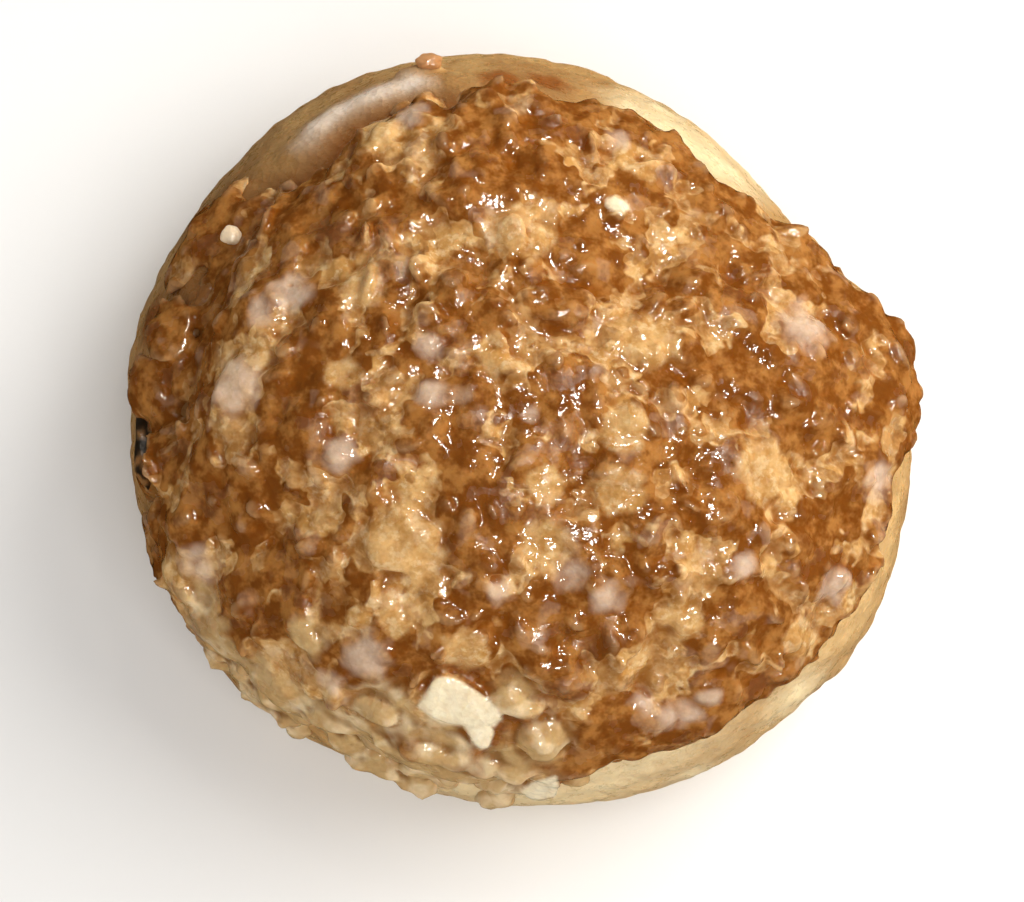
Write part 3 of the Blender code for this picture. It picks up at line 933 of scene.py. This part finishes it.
bunLumps = {
    "tanPanel": (180, 457, 3.6, 1.9, 1.5, 88),
    "upperPanel": (156, 385, 3.6, 2.4, 0.9, 76),
    "upperFold": (188, 330, 3.2, 1.3, 1.2, 70),
    "innerFold": (208, 290, 2.6, 1.2, 1.0, 62),
    "lowPanel": (170, 525, 2.8, 1.4, 1.0, 108),
    "lipKnot": (418, 72, 2.6, 1.2, 0.8, 15),
}
choux = {
    "tan": (0.54, 0.31, 0.115, 1),
    "pale": (0.97, 0.81, 0.50, 1),
    "gold": (0.72, 0.45, 0.175, 1),
    # brown is also laid as painted shade: in the valley, under the crust's edge and in the crevices
    "brown": (0.28, 0.088, 0.016, 1),
    "crust": (0.29, 0.125, 0.034, 1),
    # pale painted sheen along the rolled lip
    "waxy": (0.95, 0.80, 0.66, 1),
    # near black: painted shadow round the ledge on the left
    "char": (0.022, 0.013, 0.005, 1),
}
# Pale spots on the bun's band: partly pale dough, partly painted light on the upper right
paleLitSpots = [
    (740, 165, 5.0), (665, 105, 4.0), (805, 235, 3.6), (795, 700, 4.0), (690, 775, 3.0),
    (600, 790, 3.0),
]
goldenSpots = [
    (890, 560, 4.2), (865, 610, 3.6), (918, 430, 4.0), (470, 790, 4.0), (380, 770, 4.0),
]
# Dark spots on the bun's band, under the crust's edge and round the fold on the left: painted shade, partly
# browned dough
shadeSpots = [
    (150, 320, 2.6), (500, 80, 2.4), (550, 80, 2.2), (203, 385, 1.2), (203, 430, 1.3),
    (200, 475, 1.2), (170, 420, 1.0),
]
# A ledge on the left side, made of two lumps, in the shadow under the fold; painted shadow turns the dough
# round it near black
shadowLedge = {
    "bearing": 188,
    "height": 25 * mm,
    "sizes": (4.9 * mm, 1.5 * mm, 1.15 * mm),  # half length, half width, how far it stands out
    # the dough round the ledge is painted black as shadow
    "reach": 1.05,  # how far round it the dough is black, as a share of its size
    "ragged": 0.75,
    "lumps": ((-1.6 * mm, 0.1 * mm, 0.66, 5), (1.7 * mm, -0.3 * mm, 0.72, 8)),  # along, up, share, seed
    "swelling": 0.55,
}


def bunShape():
    tree, given = newShape("wrinkleBun", {
        "Wrinkle": "Float", "Blister": "Float", "Grain": "Float", "Fold": "Float", "Finish": "Material"})
    position = addNode(tree, "GeometryNodeInputPosition").outputs[0]
    normal = addNode(tree, "GeometryNodeInputNormal").outputs[0]
    stretched = vectorOf(tree, "MULTIPLY", position, bun["wrinkleStretch"])
    wrinkles = warped(tree, stretched, bun["wrinkleLobe"], bun["wrinkleReach"])
    wrinkles = mathOf(tree, "SUBTRACT", noiseOf(tree, wrinkles, bun["wrinkleSize"], 3.0), 0.5)
    blisters = ramp(tree, noiseOf(tree, position, bun["blisterSize"], 1.0), 0.55, 0.8)
    grains = cellsOf(tree, warped(tree, position, bun["grainLobe"], bun["grainReach"]), bun["grainSize"], 0.3)
    grains = mathOf(tree, "SUBTRACT", 0.5, grains)
    drawnOut = vectorOf(tree, "MULTIPLY", position, bun["foldStretch"])
    folds = mathOf(tree, "SUBTRACT", noiseOf(tree, drawnOut, bun["foldSize"], 2.0), 0.5)
    rise = times(tree, wrinkles, times(tree, given["Wrinkle"], 3.0))
    rise = mathOf(tree, "MULTIPLY_ADD", blisters, given["Blister"], rise)
    rise = mathOf(tree, "MULTIPLY_ADD", grains, times(tree, given["Grain"], readShare(tree, "grainy")), rise)
    rise = mathOf(tree, "MULTIPLY_ADD", folds, times(tree, given["Fold"], readShare(tree, "folded")), rise)
    height = addNode(tree, "ShaderNodeSeparateXYZ", {0: position}).outputs["Z"]
    free = ramp(tree, height, *bun["flatBase"])
    body = moved(tree, given["Geometry"], scaled(tree, normal, times(tree, rise, free)))
    endShape(tree, body, given["Finish"])
    return tree


def bunFinish(mottle, crinkle):
    material, tree, shader, position = newFinish("bakedChoux")
    crest = readMask(tree, "crest")
    broad = noiseOf(tree, position, 12 * mm, 3.0, 0.55)
    colour = mixColour(tree, ramp(tree, broad, 0.42, 0.68), choux["tan"], choux["gold"])
    height = addNode(tree, "ShaderNodeSeparateXYZ", {0: position}).outputs["Z"]
    height = mathOf(tree, "MULTIPLY_ADD", broad, 8 * mm, height)
    # pale low on the sides, and browned where it stood on the tray
    colour = toned(tree, colour, ramp(tree, height, 17 * mm, 8 * mm), 0.35, choux["pale"])
    colour = toned(tree, colour, ramp(tree, height, 5.4 * mm, 4 * mm), 0.8, choux["crust"])
    for name, tone, amount in (("golden", "gold", 0.9), ("palest", "pale", 0.85), ("toasted", "crust", 0.9),
                               ("browned", "brown", 0.92), ("waxy", "waxy", 0.9)):
        colour = toned(tree, colour, readMask(tree, name), amount, choux[tone])
    colour = toned(tree, colour, ramp(tree, crest, 0.15, 0.9), 0.30, choux["crust"])
    # painted shade: the bun's crevices darken to brown
    colour = toned(tree, colour, ramp(tree, crest, -0.1, -0.9), 0.50, choux["brown"])
    colour = useEffect(tree, mottle, {"Position": position, "Colour": colour, "Blot": 3.0 * mm,
                                      "Grain": 0.8 * mm, "Amount": 0.4})
    # painted shadow: near black round the ledge on the left, where the shade under the fold falls
    colour = mixColour(tree, readMask(tree, "char"), colour, choux["char"])
    tree.links.new(colour, shader.inputs["Base Color"])
    fine = noiseOf(tree, position, 1.6 * mm, 4.0, 0.65)
    rough = addNode(tree, "ShaderNodeMapRange", {"Value": fine, "To Min": 0.10, "To Max": 0.50}).outputs[0]
    # the painted shadow round the ledge is duller
    rough = mathOf(tree, "MULTIPLY_ADD", readMask(tree, "char"), 0.25, rough)
    tree.links.new(rough, shader.inputs["Roughness"])
    normal = useEffect(tree, crinkle, {"Position": position, "Cell": 0.7 * mm, "Depth": 0.09 * mm,
                                       "Fine": 0.06 * mm})
    tree.links.new(normal, shader.inputs["Normal"])
    setShader(shader, Subsurface_Weight=0.35, Subsurface_Radius=(1.0, 0.45, 0.18), Subsurface_Scale=1.8 * mm,
              Specular_IOR_Level=0.35)
    return material


def shadowLedgeFrame():
    # where the shadowed ledge sits, and its three directions: along, across and outward
    angle = math.radians(shadowLedge["bearing"])
    outward = Vector((math.cos(angle), math.sin(angle), 0))
    place = surfaceTree(bunNode).ray_cast(Vector((0, 0, shadowLedge["height"])), outward)[0]
    return place, Matrix((Vector((-outward.y, outward.x, 0)), Vector((0, 0, 1)), outward))


def shadowLedgeReach(points):
    # 1 on the ledge's own surface, less inside it and more outside
    place, turn = shadowLedgeFrame()
    local = (points - np.array(place)) @ np.array(turn).T / np.array(shadowLedge["sizes"])
    return np.linalg.norm(local, axis=1)


def addShadowLedge(obj):
    place, turn = shadowLedgeFrame()
    mesh = bmesh.new()
    mesh.from_mesh(obj.data)
    for along, up, share, shift in shadowLedge["lumps"]:
        centre = place + along * turn[0] + up * turn[1]
        sizes = [share * size for size in shadowLedge["sizes"]]
        addLump(mesh, centre, turn[2], turn[0], sizes, Vector((shift, 0, 0)), 4, shadowLedge["swelling"])
    mesh.to_mesh(obj.data)
    mesh.free()


def valleyAt(past):
    return np.exp(-((past - bun["valleyPlace"]) / bun["valleyWidth"]) ** 2)


def rollTheLip(data):
    # a lip rolls up round the crust's upper left, with a valley between the two
    points, _, normals = meshArrays(data)
    bearing, past = pastTheRim(points)
    lip = np.exp(-((past - bun["lipPlace"]) / bun["lipWidth"]) ** 2)
    offset = np.interp(bearing, lipBearings, lipShares) * (lip * bun["lip"] - valleyAt(past) * bun["valley"])
    below = np.clip((past - bun["setBackPast"]) / (5 * mm), 0, 1)
    offset -= bun["setBack"] * below * np.interp(bearing, setBackBearings, setBackShares)
    points += normals * offset[:, None]
    data.vertices.foreach_set("co", points.ravel())


def makeBun(camera, finish):
    body = mergedCopy(bunNode, "bunBody")
    divide = body.modifiers.new("divide", "SUBSURF")
    divide.levels = divide.render_levels = bun["level"]
    body = plainMesh(body, "bunRound")
    addLumps(body, camera, surfaceTree(bunNode), bunLumps, 8)
    rollTheLip(body.data)
    addShadowLedge(body)
    bearing = pastTheRim(meshArrays(body.data)[0])[0]
    setMask(body.data, "folded", np.interp(bearing, foldBearings, foldShares))
    setMask(body.data, "grainy", np.interp(bearing, grainBearings, grainShares))
    growOn(body, bunShape(), bun, finish)
    piece = fused(body, "chouxBun", bun["voxel"], 1, finish)
    past = pastTheRim(meshArrays(piece.data)[0])[1]
    piece = thinned(piece, past < bun["hiddenPast"], bun["mostTriangles"])
    data = piece.data
    points, edges, normals = meshArrays(data)
    bearing, past = pastTheRim(points)
    setMask(data, "crest", reliefOf(points, edges, normals, 20, 0.35 * mm))
    photoTree = surfaceTree(crustNode, bunNode)
    for name, spots, softness, seed in (("palest", paleLitSpots, 0.9, 5), ("golden", goldenSpots, 0.9, 6),
                                        ("browned", shadeSpots, 0.45, 9)):
        mask = spotMask(camera, photoTree, points, spots, softness, seed)
        if name == "browned":
            # painted shade in the valley between the lip and the crust
            mask = np.maximum(mask, np.interp(bearing, lipBearings, lipShares) * valleyAt(past))
        # painted light, partly pale dough: paler on the upper right and at the bottom
        if name == "palest":
            wander = raggedAt(points, 9 * mm)
            side = np.interp((bearing + 14 * wander) % 360, paleLitBearings, paleLitShares)
            mask = np.maximum(mask, side * np.clip(1.5 - past / (16 * mm) + 0.6 * wander, 0.15, 1))
        setMask(data, name, mask)
    # painted shadow: the dough round the ledge turns near black
    ledgeShadowed = shadowLedge["reach"] + shadowLedge["ragged"] * raggedAt(points, 1.1 * mm) - shadowLedgeReach(points)
    setMask(data, "char", np.clip(ledgeShadowed / 0.25 + 0.5, 0, 1))
    # partly toasting, partly painted shade on the upper and left side
    upper = np.clip(1.6 - past / (16 * mm), 0, 1)
    setMask(data, "toasted", np.interp(bearing, toastShadeBearings, toastShadeShares) * upper)
    # painted sheen: a pale streak along the rolled lip stands in for its highlight
    ragged = raggedAt(points, 2.5 * mm)
    streak = np.exp(-((past - bun["lipPlace"] - 0.3 * mm) / bun["waxyWidth"]) ** 2)
    waxy = np.interp(bearing, sheenBearings, sheenShares) * streak
    setMask(data, "waxy", np.clip(1.2 * waxy + 0.5 * ragged * waxy, 0, 1))
    return piece


# Loose crumbs on the bun: pixel across, pixel down, half length, half width, height, turn
crumbsSeen = {
    "paleBead": (232, 237, 1.15 * mm, 1.05 * mm, 0.95 * mm, 0),
    "toffeeCrumb": (429, 64, 1.5 * mm, 1.1 * mm, 0.9 * mm, 15),
}
sugar = {"cream": (1.0, 0.79, 0.54, 1), "toffee": (0.55, 0.27, 0.11, 1)}


def sugarFinish(name, colour, mottle, crinkle):
    material, tree, shader, position = newFinish(name)
    colour = useEffect(tree, mottle, {"Position": position, "Colour": colour, "Blot": 2.0 * mm,
                                      "Grain": 0.5 * mm, "Amount": 0.12})
    tree.links.new(colour, shader.inputs["Base Color"])
    normal = useEffect(tree, crinkle, {"Position": position, "Cell": 0.6 * mm, "Depth": 0.05 * mm,
                                       "Fine": 0.03 * mm})
    tree.links.new(normal, shader.inputs["Normal"])
    setShader(shader, Roughness=0.28, Subsurface_Weight=0.5, Subsurface_Radius=(1.0, 0.7, 0.45),
              Subsurface_Scale=1.5 * mm, Coat_Weight=0.2, Coat_Roughness=0.08)
    return material


def makeCrumbs(camera, finishes, crustPiece, bunPiece):
    tree = surfaceTree(crustPiece, bunPiece)
    draw = random.Random(21)
    mesh = bmesh.new()
    for name, (across, down, long, wide, high, turn) in crumbsSeen.items():
        place, normal = spotAt(camera, tree, across, down)
        angle = math.radians(turn)
        along = Vector((math.cos(angle), math.sin(angle), 0))
        start = len(mesh.faces)
        addLump(mesh, place + normal * 0.35 * high, normal, along, (long, wide, high),
                Vector((draw.uniform(0, 99), 0, 0)), 4, 0.22)
        mesh.faces.ensure_lookup_table()
        for face in mesh.faces[start:]:
            face.material_index = 1 if name.startswith("toffee") else 0
    bmesh.ops.recalc_face_normals(mesh, faces=mesh.faces)
    data = bpy.data.meshes.new("sugarCrumbs")
    mesh.to_mesh(data)
    mesh.free()
    for finish in finishes:
        data.materials.append(finish)
    data.shade_smooth()
    piece = linked("sugarCrumbs", data)
    print("crumbs:", len(crumbsSeen))
    return piece


# Studio: pale floor, wide soft light from the right and above that only shades, and small lamps
# that only glint in the glaze
studio = {
    "floorSize": 3.0,
    "floorColour": (0.88, 0.88, 0.88, 1),
    "worldColour": (1.0, 0.98, 0.95, 1),
    "worldStrength": 0.42,
}
softLamps = {
    "key": {"place": (0.40, 0.09, 0.48), "size": 0.50, "power": 2.65, "colour": (1.0, 0.965, 0.91)},
    "front": {"place": (0.10, -0.44, 0.60), "size": 0.50, "power": 2.25, "colour": (1.0, 0.985, 0.96)},
    "behind": {"place": (0.33, 0.40, 0.17), "size": 0.30, "power": 1.7, "colour": (1.0, 0.965, 0.91)},
}
glintLamps = {
    "glintTop": {"place": (0.12, 0.12, 0.62), "size": 0.036, "power": 3.4, "colour": (1.0, 0.93, 0.83)},
    "glintLow": {"place": (0.20, -0.24, 0.54), "size": 0.036, "power": 3.4, "colour": (1.0, 0.93, 0.83)},
}


def makeStudio():
    mesh = bmesh.new()
    bmesh.ops.create_grid(mesh, x_segments=1, y_segments=1, size=studio["floorSize"] / 2)
    data = bpy.data.meshes.new("floor")
    mesh.to_mesh(data)
    mesh.free()
    floor = linked("floor", data)
    material, _, shader, _ = newFinish("paleFloor")
    setShader(shader, Base_Color=studio["floorColour"], Roughness=0.8)
    data.materials.append(material)
    floor.visible_glossy = False  # the glaze mirrors a dark room, as in the photo
    for lamps, soft in ((softLamps, True), (glintLamps, False)):
        for name, lamp in lamps.items():
            light = bpy.data.lights.new(name, "AREA")
            light.shape = "DISK"
            light.size = lamp["size"]
            light.energy = lamp["power"]
            light.color = lamp["colour"]
            obj = linked(name, light)
            obj.location = lamp["place"]
            toPuff = Vector((0, 0, 0.02)) - obj.location
            obj.rotation_euler = toPuff.to_track_quat("-Z", "Y").to_euler()
            obj.visible_glossy = not soft
            obj.visible_diffuse = soft
    world = bpy.data.worlds.new("studio")
    bpy.context.scene.world = world
    world.use_nodes = True
    sky = world.node_tree.nodes["Background"]
    sky.inputs["Color"].default_value = studio["worldColour"]
    sky.inputs["Strength"].default_value = studio["worldStrength"]
    world.cycles_visibility.glossy = False
    bpy.context.scene.view_settings.view_transform = "Standard"
    print("studio: floor,", len(softLamps), "soft lamps and", len(glintLamps), "glints")


camera = makeCamera()
makeStudio()
mottle = ovenMottleEffect()
crinkle = crinkleEffect()
bunPiece = makeBun(camera, bunFinish(mottle, crinkle))
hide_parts("choux_bun")
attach(bunPiece, "root")
crustPiece = makeCrust(camera, bunPiece, crustFinish(mottle, crinkle))
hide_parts("cookie_crust")
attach(crustPiece, "root")
sugarFinishes = [sugarFinish(name + "Sugar", colour, mottle, crinkle) for name, colour in sugar.items()]
crumbPiece = makeCrumbs(camera, sugarFinishes, crustPiece, bunPiece)
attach(crumbPiece, "root")
